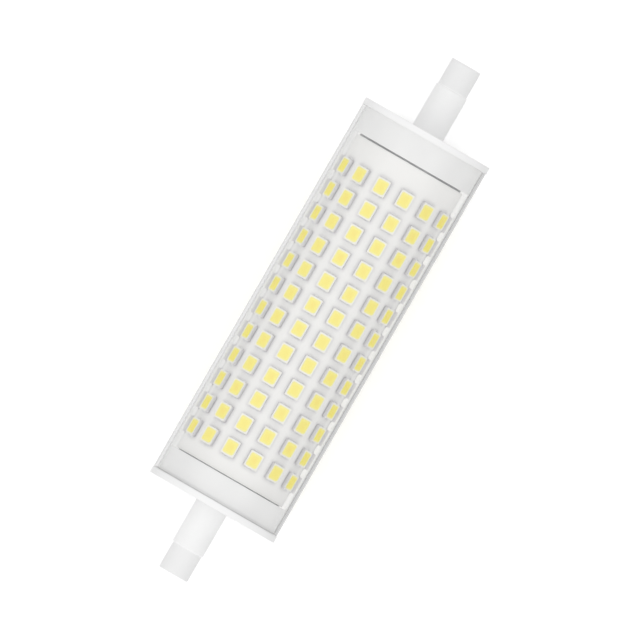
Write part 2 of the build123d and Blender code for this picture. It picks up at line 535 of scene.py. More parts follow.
@dataclass(frozen=True)
class YellowPhosphor(Finish):
    """Phosphor in clear silicone: fine grain, a warm patch over the chip and a shade for each LED."""

    yellow: Colour
    deep: Colour
    warm: Colour
    pale_edge: Colour
    patch: Range = (0.12, 0.62)
    patch_drift: float = 0.16
    drift_scale: float = 900.0
    warm_share: Range = (0.15, 0.75)
    rim: Range = (0.62, 1.0)
    rim_share: float = 0.8
    grain_scale: float = 9000.0
    grain_share: float = 0.1
    grain_depth: float = 0.006 * MM
    gloss: Range = (0.26, 0.4)
    specular: float = 0.12

    def lay(self, sheet: ShaderSheet) -> None:
        """Lays out the nodes.

        Args:
            sheet: The material's nodes.
        """
        window = sheet.axes(sheet.add("ShaderNodeAttribute", attribute_name=WINDOW).outputs["Vector"])
        lot = sheet.add("ShaderNodeAttribute", attribute_name=LOT).outputs["Fac"]
        reel = sheet.add("ShaderNodeAttribute", attribute_name=REEL).outputs["Fac"]
        reach = sheet.maths("MAXIMUM", *(sheet.maths("ABSOLUTE", window[axis]) for axis in "XY"))
        drift = sheet.span(sheet.noise(self.drift_scale), -self.patch_drift, self.patch_drift)
        patch = sheet.span(sheet.maths("ADD", reach, drift), 1.0, 0.0, self.patch)
        grain = sheet.noise(self.grain_scale)
        speck = sheet.span(grain, -self.grain_share, self.grain_share)
        warm = sheet.maths("MULTIPLY", patch, sheet.span(lot, *self.warm_share))
        body = sheet.blend(sheet.maths("ADD", warm, speck, clamp=True),
                           sheet.blend(reel, self.yellow, self.deep), self.warm)
        colour = sheet.blend(sheet.span(reach, 0.0, self.rim_share, self.rim), body, self.pale_edge)
        sheet.surface(colour, sheet.span(grain, *self.gloss), Specular_IOR_Level=self.specular,
                      Normal=sheet.bump(grain, self.grain_depth))


@dataclass(frozen=True)
class ClearPlastic(Finish):
    """Clear drawn tube with faint draw waves, which lets lamps and scattered light straight through."""

    tint: Colour = (0.99, 0.99, 0.988)
    ior: float = 1.49
    haze: Range = (0.0, 0.035)
    haze_scale: float = 300.0
    wave_scale: float = 420.0
    wave_stretch: Place = (0.08, 1.0, 1.0)
    wave_depth: float = 0.0018 * MM

    def lay(self, sheet: ShaderSheet) -> None:
        """Lays out the nodes.

        Args:
            sheet: The material's nodes.
        """
        wave = sheet.noise(self.wave_scale, stretch=self.wave_stretch)
        shader = sheet.surface(self.tint, sheet.span(sheet.noise(self.haze_scale, 3.0), *self.haze),
                               IOR=self.ior, Transmission_Weight=1.0,
                               Normal=sheet.bump(wave, self.wave_depth))
        through = sheet.add("ShaderNodeBsdfTransparent")
        sheet.feed(through.inputs["Color"], self.tint)
        path = sheet.add("ShaderNodeLightPath").outputs
        mix = sheet.add("ShaderNodeMixShader")
        sheet.join(sheet.maths("MAXIMUM", path["Is Shadow Ray"], path["Is Diffuse Ray"]), mix.inputs[0])
        sheet.join(shader.outputs[0], mix.inputs[1])
        sheet.join(through.outputs[0], mix.inputs[2])
        sheet.show(mix.outputs[0])


@dataclass(frozen=True)
class WorkedMetal(Finish):
    """Metal with drawn, turned or wiped lines and patches of duller skin."""

    bright: Colour
    dull: Colour
    lines: Lines = Lines.ALONG
    gloss: Range = (0.24, 0.42)
    line_scale: float = 5200.0
    line_depth: float = 0.006 * MM
    skin_scale: float = 260.0
    metallic: float = 0.95

    def lay(self, sheet: ShaderSheet) -> None:
        """Lays out the nodes.

        Args:
            sheet: The material's nodes.
        """
        line = sheet.noise(self.line_scale, 3.0, self.lines.value)
        colour = sheet.ramp(sheet.noise(self.skin_scale, 4.0), (0.3, self.dull), (0.68, self.bright))
        sheet.surface(colour, sheet.span(line, *self.gloss), Metallic=self.metallic,
                      Normal=sheet.bump(line, self.line_depth))


@dataclass(frozen=True)
class SolderFinish(Finish):
    """Bright solder with a frosted, slightly lumpy skin."""

    bright: Colour = (0.88, 0.88, 0.89)
    dull: Colour = (0.7, 0.7, 0.72)
    gloss: Range = (0.28, 0.5)
    lump_scale: float = 2600.0
    lump_depth: float = 0.02 * MM
    metallic: float = 0.7

    def lay(self, sheet: ShaderSheet) -> None:
        """Lays out the nodes.

        Args:
            sheet: The material's nodes.
        """
        lump = sheet.noise(self.lump_scale, 3.0)
        colour = sheet.ramp(lump, (0.34, self.dull), (0.66, self.bright))
        sheet.surface(colour, sheet.span(lump, *self.gloss), Metallic=self.metallic,
                      Normal=sheet.bump(lump, self.lump_depth))


@dataclass(frozen=True)
class CircuitBoard(Finish):
    """Green mask over copper tracks, with the tracks' run showing as lighter bands."""

    mask: Colour = (0.03, 0.16, 0.07)
    track: Colour = (0.07, 0.27, 0.12)
    cell_scale: float = 190.0
    cell_gap: float = 0.05
    track_height: float = 0.03 * MM
    gloss_scale: float = 800.0
    gloss: Range = (0.26, 0.4)
    coat: float = 0.3
    coat_roughness: float = 0.2

    def lay(self, sheet: ShaderSheet) -> None:
        """Lays out the nodes.

        Args:
            sheet: The material's nodes.
        """
        cells = sheet.add("ShaderNodeTexBrick")
        cells.inputs["Scale"].default_value = self.cell_scale
        cells.inputs["Mortar Size"].default_value = self.cell_gap
        for socket, grey in (("Color1", 1.0), ("Color2", 0.5), ("Mortar", 0.0)):
            sheet.feed(cells.inputs[socket], (grey, grey, grey))
        sheet.join(sheet.place(), cells.inputs["Vector"])
        copper = sheet.span(cells.outputs["Color"], 0.0, 1.0, (0.0, 0.9))
        sheet.surface(sheet.blend(copper, self.mask, self.track),
                      sheet.span(sheet.noise(self.gloss_scale), *self.gloss), Coat_Weight=self.coat,
                      Coat_Roughness=self.coat_roughness, Normal=sheet.bump(copper, self.track_height))


@dataclass(frozen=True)
class MilkyFilm(Finish):
    """Thin insulating film, cloudy and a little creased."""

    pale: Colour = (0.82, 0.8, 0.7)
    deep: Colour = (0.7, 0.68, 0.58)
    cloud_scale: float = 180.0
    gloss: Range = (0.22, 0.4)
    crease_scale: float = 420.0
    crease_stretch: Place = (1.0, 0.2, 0.2)
    crease_depth: float = 0.06 * MM

    def lay(self, sheet: ShaderSheet) -> None:
        """Lays out the nodes.

        Args:
            sheet: The material's nodes.
        """
        cloud = sheet.noise(self.cloud_scale, 4.0)
        crease = sheet.noise(self.crease_scale, 3.0, self.crease_stretch)
        colour = sheet.ramp(cloud, (0.3, self.deep), (0.7, self.pale))
        sheet.surface(colour, sheet.span(cloud, *self.gloss), Normal=sheet.bump(crease, self.crease_depth))


@dataclass(frozen=True)
class BandedBody(Finish):
    """Lacquer or sleeve on a component, with a band of another colour at one end of each stretch."""

    main: Colour
    band: Colour
    band_pitch: float
    gloss: Range = (0.22, 0.36)
    band_edge: Range = (0.72, 0.78)
    speck_scale: float = 1400.0
    speck_share: float = 0.06
    speck_depth: float = 0.01 * MM

    def lay(self, sheet: ShaderSheet) -> None:
        """Lays out the nodes.

        Args:
            sheet: The material's nodes.
        """
        swing = sheet.maths("PINGPONG", sheet.axes(sheet.place())["Y"], self.band_pitch)
        band = sheet.span(swing, 0.0, 1.0, tuple(self.band_pitch * share for share in self.band_edge))
        speck = sheet.noise(self.speck_scale, 3.0)
        share = sheet.maths("ADD", band, sheet.span(speck, -self.speck_share, self.speck_share), clamp=True)
        sheet.surface(sheet.blend(share, self.main, self.band), sheet.span(speck, *self.gloss),
                      Normal=sheet.bump(speck, self.speck_depth))


@dataclass(frozen=True)
class PaperFloor(Finish):
    """White studio paper: plain for lamps, lifted a little for sight, with the lamp's shadow left on it."""

    colour: Colour = (0.86, 0.86, 0.86)
    fibre_colour: Colour = (0.8471, 0.8471, 0.8471)
    fibre_scale: float = 900.0
    roughness: float = 0.9
    lift: float = 0.34

    def lay(self, sheet: ShaderSheet) -> None:
        """Lays out the nodes.

        Args:
            sheet: The material's nodes.
        """
        colour = sheet.blend(sheet.noise(self.fibre_scale, 3.0), self.colour, self.fibre_colour)
        shader = sheet.surface(colour, self.roughness, Specular_IOR_Level=0.0)
        both = sheet.add("ShaderNodeAddShader")
        sheet.join(shader.outputs[0], both.inputs[0])
        sheet.join(sheet.glow(sheet.maths("MULTIPLY", sheet.sight(), self.lift)), both.inputs[1])
        sheet.show(both.outputs[0])


@dataclass(frozen=True)
class GreyCard(Finish):
    """Grey glowing sheet that the clear tube picks up, with a tone that fades across it: the cards lying by
    the lamp are painted floor shadow, and the flags are dark flags.
    """

    near_grey: float
    far_grey: float
    near: float
    far: float
    upright: bool = False

    def lay(self, sheet: ShaderSheet) -> None:
        """Lays out the nodes.

        Args:
            sheet: The material's nodes.
        """
        place = sheet.axes(sheet.place())
        reach = place["Z"] if self.upright else sheet.maths("ABSOLUTE", place["Y"])
        sheet.show(sheet.glow(sheet.span(reach, self.near_grey, self.far_grey, (self.near, self.far))))


@dataclass(frozen=True)
class StudioSky:
    """Soft light from all round, a little stronger from one end and side, and plain white to sight."""

    level: float = 0.92
    white: float = 1.0
    end_lean: float = -0.2
    side_lean: float = 0.03

    def make(self) -> None:
        """Builds the world and puts the scene in it."""
        sheet = SkySheet("studio")
        direction = sheet.axes(sheet.add("ShaderNodeTexCoord").outputs["Generated"])
        lean = sheet.maths("ADD", sheet.maths("MULTIPLY", direction["X"], self.end_lean),
                           sheet.maths("MULTIPLY", direction["Y"], self.side_lean))
        light = sheet.maths("MULTIPLY", sheet.maths("ADD", lean, 1.0), self.level)
        sight = sheet.sight()
        lamp_share = sheet.maths("MULTIPLY", sheet.maths("SUBTRACT", 1.0, sight), light)
        sky = sheet.add("ShaderNodeBackground")
        sheet.feed(sky.inputs["Color"], (1.0, 1.0, 1.0))
        sheet.join(sheet.maths("ADD", lamp_share, sheet.maths("MULTIPLY", sight, self.white)),
                   sky.inputs["Strength"])
        sheet.show(sky.outputs[0])


@dataclass(frozen=True)
class Corner:
    """One corner of a turned section: its place along the lamp, its radius and its rounding, in metres."""

    along: float
    radius: float
    rounding: float = 0.0


def rounded_section(corners: Sequence[Corner], steps: int = 5) -> list[Point]:
    """Rounds the corners of a closed section.

    Args:
        corners: The section's corners, in order.
        steps: How many straight pieces each rounding has.

    Returns:
        The section's points, each a place along the lamp and a radius.
    """
    points: list[Point] = []
    for index, corner in enumerate(corners):
        here = Vector((corner.along, corner.radius))
        if corner.rounding <= 0:
            points.append((here.x, here.y))
            continue
        before, after = corners[index - 1], corners[(index + 1) % len(corners)]
        to_before = Vector((before.along, before.radius)) - here
        to_after = Vector((after.along, after.radius)) - here
        half = to_before.angle(to_after) / 2
        reach = min(corner.rounding / math.tan(half), 0.48 * to_before.length, 0.48 * to_after.length)
        start = here + to_before.normalized() * reach
        end = here + to_after.normalized() * reach
        for step in range(steps + 1):
            share = step / steps
            on_curve = start * (1 - share) ** 2 + here * 2 * share * (1 - share) + end * share**2
            points.append((on_curve.x, on_curve.y))
    return points


def sleeve_corners(ends: Range, radii: Range, edge: float, stations: int) -> list[Corner]:
    """Lists the corners of a tube's wall, with stations along both faces.

    Args:
        ends: Places of the tube's two ends along the lamp.
        radii: Its inner and its outer radius.
        edge: Rounding of its end edges.
        stations: How many stretches its length is cut into.

    Returns:
        The corners, in order.
    """
    (start, end), (inner, outer) = ends, radii
    places = [start + (end - start) * n / stations for n in range(1, stations)]
    outside = [Corner(place, outer) for place in places]
    inside = [Corner(place, inner) for place in reversed(places)]
    return [Corner(start, inner, edge), Corner(start, outer, edge), *outside,
            Corner(end, outer, edge), Corner(end, inner, edge), *inside]


def finish_mesh(name: str, mesh_data: bmesh.types.BMesh, finishes: Sequence[Finish],
                sharp_angle: float = 40.0) -> bpy.types.Object:
    """Turns mesh data into a smooth-shaded piece of the lamp.

    Args:
        name: The piece's name.
        mesh_data: Its mesh, which is freed.
        finishes: Its finishes, in slot order.
        sharp_angle: Edges that turn by more than this many degrees stay sharp.

    Returns:
        The new object, which rides on the lamp's body.
    """
    mesh = bpy.data.meshes.new(name)
    mesh_data.to_mesh(mesh)
    mesh_data.free()
    for finish in finishes:
        mesh.materials.append(finish.make())
    mesh.shade_smooth()
    mesh.set_sharp_from_angle(angle=math.radians(sharp_angle))
    piece = bpy.data.objects.new(name, mesh)
    bpy.context.scene.collection.objects.link(piece)
    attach(piece, BODY)
    return piece


def weigh_normals(piece: bpy.types.Object) -> None:
    """Keeps wide flat faces flat beside their rounded edges."""
    modifier = piece.modifiers.new("flat_faces", "WEIGHTED_NORMAL")
    modifier.keep_sharp = True


def bridge(mesh_data: bmesh.types.BMesh, ring: Ring, after: Ring) -> list[bmesh.types.BMFace]:
    """Joins two closed rings of vertices with a band of faces.

    Args:
        mesh_data: The mesh that holds them.
        ring: The first ring.
        after: The next ring, with as many vertices, or one vertex as many times.

    Returns:
        The new faces.
    """
    faces = []
    for step, vertex in enumerate(ring):
        ahead = (step + 1) % len(ring)
        corners = list(dict.fromkeys((vertex, ring[ahead], after[ahead], after[step])))
        if len(corners) >= 3:
            faces.append(mesh_data.faces.new(corners))
    return faces


def skin(mesh_data: bmesh.types.BMesh, rings: Sequence[Ring]) -> None:
    """Joins a row of rings with faces and closes both its ends.

    Args:
        mesh_data: The mesh that holds them.
        rings: The rings, in order.
    """
    for ring, after in zip(rings, rings[1:]):
        bridge(mesh_data, ring, after)
    mesh_data.faces.new(rings[0])
    mesh_data.faces.new(rings[-1])


def turn_section(mesh_data: bmesh.types.BMesh, section: Sequence[Point], segments: int,
                 flip: bool = False) -> None:
    """Turns a closed section round the lamp's axis into a mesh.

    Args:
        mesh_data: The mesh that it is added to.
        section: The section's points, each a place along the lamp and a radius.
        segments: How many steps the full turn has.
        flip: Whether it is mirrored to the lamp's other end.
    """
    rings: list[Ring] = []
    sign = -1.0 if flip else 1.0
    angles = [math.tau * step / segments for step in range(segments)]
    for along, radius in section:
        x = sign * along
        if radius < LEAST_RADIUS:
            rings.append([mesh_data.verts.new((x, 0.0, 0.0))] * segments)
        else:
            rings.append([mesh_data.verts.new((x, radius * math.sin(angle), radius * math.cos(angle)))
                          for angle in angles])
    for index, ring in enumerate(rings):
        bridge(mesh_data, ring, rings[(index + 1) % len(rings)])
    bmesh.ops.recalc_face_normals(mesh_data, faces=mesh_data.faces)


def turned_piece(name: str, section: Sequence[Point], segments: int, finish: Finish,
                 both_ends: bool = True) -> bpy.types.Object:
    """Turns a section into a piece of the lamp.

    Args:
        name: The piece's name.
        section: The closed section, at the lamp's right end where the piece is a pair.
        segments: How many steps the full turn has.
        finish: Its finish.
        both_ends: Whether the piece is a pair, mirrored to the left end.

    Returns:
        The piece.
    """
    mesh_data = bmesh.new()
    for flip in (False, True) if both_ends else (False,):
        turn_section(mesh_data, section, segments, flip)
    return finish_mesh(name, mesh_data, [finish])


@dataclass
class ClearTube:
    """The clear outer tube between the two flange discs, and the bead of sealant at its left end."""

    wall: float = 0.75 * MM
    end_room: float = 0.16 * MM
    edge: float = 0.06 * MM
    edge_steps: int = 3
    seal_inset: float = 0.1 * MM
    seal_room: float = 0.02 * MM
    segments: int = 256
    stations: int = 24
    finish: ClearPlastic = ClearPlastic("clear_plastic")
    seal_finish: MouldedPlastic = MouldedPlastic("grey_sealant", (0.6, 0.6, 0.6), (0.46, 0.46, 0.47),
                                                 gloss=(0.3, 0.45), cloud_scale=900.0)

    def build(self) -> bpy.types.Object:
        """Builds the tube in the frame's place for it.

        Returns:
            The tube.
        """
        low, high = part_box("clear_tube")
        corners = sleeve_corners((low[0] + self.end_room, high[0]), (high[2] - self.wall, high[2]),
                                 self.edge, self.stations)
        section = rounded_section(corners, self.edge_steps)
        piece = turned_piece("tube_shell", section, self.segments, self.finish, both_ends=False)
        weigh_normals(piece)
        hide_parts("clear_tube")
        return piece

    def build_seal(self) -> bpy.types.Object:
        """Builds the thin bead of sealant in the joint at the tube's left end.

        Returns:
            The bead.
        """
        low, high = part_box("clear_tube")
        outer, inner = high[2] - self.seal_inset, high[2] - self.wall + self.seal_inset
        start, end = low[0] + self.seal_room, low[0] + self.end_room - self.seal_room
        section = rounded_section([Corner(start, inner), Corner(start, outer, self.edge / 2),
                                   Corner(end, outer, self.edge / 2), Corner(end, inner)], self.edge_steps)
        piece = turned_piece("end_seal", section, self.segments, self.seal_finish, both_ends=False)
        return piece


@dataclass
class EndCaps:
    """The two mouldings that close the tube: a flange disc and a collar inside the tube."""

    flange_thickness: float = 1.45 * MM
    flange_edge: float = 0.2 * MM
    flange_back_edge: float = 0.12 * MM
    collar_radius: float = 13.4 * MM
    collar_inner_radius: float = 11.7 * MM
    collar_reach: float = 5.42 * MM
    collar_edge: float = 0.18 * MM
    collar_root_edge: float = 0.072 * MM
    post_hole_radius: float = 3.52 * MM
    segments: int = 256
    # The lighter tone at the lamp's ends, on the flange discs, is painted light.
    finish: MouldedPlastic = MouldedPlastic("white_cap", (0.885, 0.885, 0.883), (0.86, 0.86, 0.86),
                                            end_tone=(0.94, 0.94, 0.94), end_from=42.0 * MM)

    def corners(self) -> list[Corner]:
        """Lists the right cap's corners, with the fine roundings of the moulding.

        Returns:
            The corners, in order.
        """
        _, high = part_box("end_caps")
        face, flange_radius = high[0], min(high[1], high[2])
        seat = face - self.flange_thickness
        rim = seat - self.collar_reach
        return [
            Corner(face, self.post_hole_radius),
            Corner(face, flange_radius, self.flange_edge),
            Corner(seat, flange_radius, self.flange_back_edge),
            Corner(seat, self.collar_radius, self.collar_root_edge),
            Corner(rim, self.collar_radius, self.collar_edge),
            Corner(rim, self.collar_inner_radius, self.collar_edge),
            Corner(seat, self.collar_inner_radius, self.collar_edge),
            Corner(seat, self.post_hole_radius),
        ]

    def build(self) -> bpy.types.Object:
        """Builds both caps as one piece.

        Returns:
            The caps.
        """
        piece = turned_piece("cap_mouldings", rounded_section(self.corners()), self.segments, self.finish)
        weigh_normals(piece)
        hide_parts("end_caps")
        return piece


@dataclass
class LampBases:
    """The two insulating posts with their narrower tips."""

    post_radius: float = 3.5 * MM
    post_entry: float = 3.45 * MM
    tip_radius: float = 3.275 * MM
    tip_length: float = 5.8 * MM
    tip_edge: float = 0.35 * MM
    step_length: float = 0.3 * MM
    step_edge: float = 0.12 * MM
    recess_radius: float = 2.0 * MM
    recess_depth: float = 1.8 * MM
    recess_edge: float = 0.15 * MM
    contact_bore: float = 1.52 * MM
    segments: int = 128
    finish: MouldedPlastic = MouldedPlastic("white_base", (0.925, 0.925, 0.923), (0.9, 0.9, 0.9),
                                            gloss=(0.46, 0.62), grain_scale=3800.0, grain_depth=0.016 * MM,
                                            end_tone=(0.845, 0.845, 0.845), end_from=53.1 * MM)

    def corners(self) -> list[Corner]:
        """Lists the right base's corners.

        Returns:
            The corners, in order.
        """
        _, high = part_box("lamp_bases")
        _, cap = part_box("end_caps")
        tip_end = high[0]
        shoulder = tip_end - self.tip_length
        back = cap[0] - self.post_entry
        floor = tip_end - self.recess_depth
        return [
            Corner(back, self.contact_bore),
            Corner(back, self.post_radius, self.step_edge),
            Corner(shoulder - self.step_length, self.post_radius, self.step_edge),
            Corner(shoulder, self.tip_radius, self.step_edge),
            Corner(tip_end, self.tip_radius, self.tip_edge),
            Corner(tip_end, self.recess_radius, self.recess_edge),
            Corner(floor, self.recess_radius, self.recess_edge),
            Corner(floor, self.contact_bore),
        ]

    def build(self) -> bpy.types.Object:
        """Builds both bases as one piece.

        Returns:
            The bases.
        """
        piece = turned_piece("base_mouldings", rounded_section(self.corners()), self.segments, self.finish)
        weigh_normals(piece)
        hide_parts("lamp_bases")
        return piece


@dataclass
class ContactPins:
    """The contacts in the tips, with a shallow dished face and a turned ring."""

    radius: float = 1.5 * MM
    length: float = 6.0 * MM
    edge: float = 0.15 * MM
    dish_radius: float = 0.9 * MM
    dish_floor_radius: float = 0.63 * MM
    dish_depth: float = 0.22 * MM
    segments: int = 96
    finish: WorkedMetal = WorkedMetal("nickel", (0.78, 0.75, 0.69), (0.6, 0.57, 0.52), Lines.ROUND)

    def build(self) -> bpy.types.Object:
        """Builds both contacts as one piece.

        Returns:
            The contacts.
        """
        _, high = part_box("contacts")
        face = high[0]
        section = rounded_section([
            Corner(face - self.dish_depth, 0.0),
            Corner(face - self.dish_depth, self.dish_floor_radius, self.edge),
            Corner(face, self.dish_radius, self.edge),
            Corner(face, self.radius, self.edge),
            Corner(face - self.length, self.radius, self.edge),
            Corner(face - self.length, 0.0),
        ])
        piece = turned_piece("contact_pins", section, self.segments, self.finish)
        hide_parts("contacts")
        return piece


def ring_of_points(half_length: float, half_width: float, roundings: Sequence[float],
                   steps: int) -> list[Point]:
    """Lists points round a rectangle with rounded corners, as many for any roundings.

    Args:
        half_length: Half its size along the lamp.
        half_width: Half its size across.
        roundings: The four corners' radii, from the one at plus length and plus width on.
        steps: How many straight pieces each corner has.

    Returns:
        The points in order.
    """
    points: list[Point] = []
    signs = ((1, 1), (-1, 1), (-1, -1), (1, -1))
    for quarter, ((along, across), rounding) in enumerate(zip(signs, roundings)):
        centre = (along * (half_length - rounding), across * (half_width - rounding))
        for step in range(steps + 1):
            angle = math.pi / 2 * (quarter + step / steps)
            points.append((centre[0] + rounding * math.cos(angle), centre[1] + rounding * math.sin(angle)))
    return points


@dataclass(frozen=True)
class Level:
    """One ring of a moulding: its half sizes, its height and its corner radius, in metres."""

    half_length: float
    half_width: float
    height: float
    rounding: float
    marked_rounding: float | None = None

    def points(self, steps: int) -> list[Place]:
        """Lists the ring's points, with the polarity corner's own radius where it has one.

        Args:
            steps: How many straight pieces each corner has.

        Returns:
            The points in order.
        """
        marked = self.rounding if self.marked_rounding is None else self.marked_rounding
        roundings = (self.rounding, self.rounding, marked, self.rounding)
        flat = ring_of_points(self.half_length, self.half_width, roundings, steps)
        return [(x, y, self.height) for x, y in flat]


@dataclass
class LedPackage:
    """One LED: a drafted white moulding with a rounded window, its phosphor and its soldered terminals."""

    length: float = 3.54 * MM
    width: float = 2.92 * MM
    height: float = 0.72 * MM
    draft: float = 0.012 * MM
    foot: float = 0.14 * MM
    top_bevel: float = 0.02 * MM
    corner_rounding: float = 0.1 * MM
    corner_steps: int = 4
    window_length: float = 2.9 * MM
    window_width: float = 2.42 * MM
    window_rounding: float = 0.4 * MM
    marked_rounding: float = 0.6 * MM
    window_lip: float = 0.05 * MM
    cup_depth: float = 0.3 * MM
    fill_below_rim: float = 0.012 * MM
    fill_dip: float = 0.02 * MM
    fill_curve: tuple[Point, ...] = ((1.0, 0.0), (0.9, 0.7), (0.5, 0.95))
    terminal_width: float = 1.9 * MM
    terminal_height: float = 0.2 * MM
    terminal_reach: float = 0.26 * MM
    terminal_inset: float = 0.08 * MM
    terminal_top: float = 0.02 * MM
    terminal_curve: tuple[Point, ...] = ((0.3, 0.5), (0.65, 0.18), (1.0, 0.0))
    terminal_stations: tuple[Point, ...] = ((-1.0, 0.55), (-0.86, 1.0), (0.86, 1.0), (1.0, 0.55))

    def housing_levels(self) -> list[tuple[Level, Tone]]:
        """Lists the housing's rings from its foot to the floor of its cup.

        Returns:
            The rings, each with the tone of the band above it.
        """
        half_l, half_w = self.length / 2, self.width / 2
        top_l, top_w = half_l - self.draft, half_w - self.draft
        win_l, win_w = self.window_length / 2, self.window_width / 2
        bevel, lip, corner = self.top_bevel, self.window_lip, self.corner_rounding
        window, marked = self.window_rounding, self.marked_rounding
        return [
            (Level(half_l, half_w, 0.0, corner), Tone.WALL),
            (Level(half_l, half_w, self.foot, corner), Tone.WALL),
            (Level(top_l, top_w, self.height - bevel, corner), Tone.RIM),
            (Level(top_l - bevel, top_w - bevel, self.height, corner), Tone.RIM),
            (Level(win_l + lip, win_w + lip, self.height, window + lip, marked + lip), Tone.RIM),
            (Level(win_l, win_w, self.height - lip / 2, window, marked), Tone.RIM),
            (Level(win_l - lip, win_w - lip, self.height - self.cup_depth, window, marked), Tone.RIM),
        ]

    def fill_levels(self) -> list[Level]:
        """Lists the phosphor's rings from its underside to near its middle.

        Returns:
            The rings.
        """
        win_l, win_w = self.window_length / 2, self.window_width / 2
        top = self.height - self.fill_below_rim
        underside = Level(win_l - 2 * self.window_lip, win_w - 2 * self.window_lip, top - self.cup_depth / 2,
                          self.window_rounding, self.marked_rounding)
        return [underside] + [Level(win_l * share, win_w * share, top - self.fill_dip * dip,
                                    self.window_rounding * share, self.marked_rounding * share)
                              for share, dip in self.fill_curve]

    def add_housing(self, mesh_data: bmesh.types.BMesh, place: Matrix) -> None:
        """Adds the housing at a place.

        Args:
            mesh_data: The mesh that it is added to.
            place: Where its foot goes.
        """
        levels = self.housing_levels()
        rings = [[mesh_data.verts.new(place @ Vector(point)) for point in level.points(self.corner_steps)]
                 for level, _ in levels]
        for (_, tone), ring, above in zip(levels, rings, rings[1:]):
            for face in bridge(mesh_data, ring, above):
                face.material_index = tone.value
        mesh_data.faces.new(rings[0][::-1]).material_index = Tone.WALL.value
        mesh_data.faces.new(rings[-1]).material_index = Tone.RIM.value

    def add_fill(self, mesh_data: bmesh.types.BMesh, place: Matrix, lot: float, reel: float) -> None:
        """Adds the phosphor at a place.

        Args:
            mesh_data: The mesh that it is added to, with the layers that its finish reads.
            place: Where the housing's foot goes.
            lot: The LED's own shade, from 0 to 1.
            reel: 0 for the paler reel of LEDs and 1 for the deeper one.
        """
        layers = mesh_data.verts.layers
        window, shade, reel_shade = layers.float_vector[WINDOW], layers.float[LOT], layers.float[REEL]

        def vertex(point: Place) -> bmesh.types.BMVert:
            """Adds a vertex that is marked for the finish.

            Args:
                point: Its place on the LED.

            Returns:
                The vertex.
            """
            made = mesh_data.verts.new(place @ Vector(point))
            made[window] = Vector((2 * point[0] / self.window_length, 2 * point[1] / self.window_width, 0.0))
            made[shade] = lot
            made[reel_shade] = reel
            return made

        levels = self.fill_levels()
        rings = [[vertex(point) for point in level.points(self.corner_steps)] for level in levels]
        middle = [vertex((0.0, 0.0, levels[-1].height))] * len(rings[0])
        for ring, above in zip(rings, [*rings[1:], middle]):
            bridge(mesh_data, ring, above)
        mesh_data.faces.new(rings[0][::-1])

    def add_terminals(self, mesh_data: bmesh.types.BMesh, place: Matrix) -> None:
        """Adds the solder fillets at both ends of the housing.

        Args:
            mesh_data: The mesh that they are added to.
            place: Where the housing's foot goes.
        """
        half_l, height = self.length / 2, self.terminal_height
        profile = [(-self.terminal_inset, 0.0), (-self.terminal_inset, height), (self.terminal_top, height)]
        profile += [(self.terminal_reach * out, height * up) for out, up in self.terminal_curve]
        for end in (1.0, -1.0):
            rings = []
            for share, squeeze in self.terminal_stations:
                across = share * self.terminal_width / 2
                points = [Vector((end * (half_l + x * squeeze), across, z * squeeze)) for x, z in profile]
                rings.append([mesh_data.verts.new(place @ point) for point in points])
            skin(mesh_data, rings)


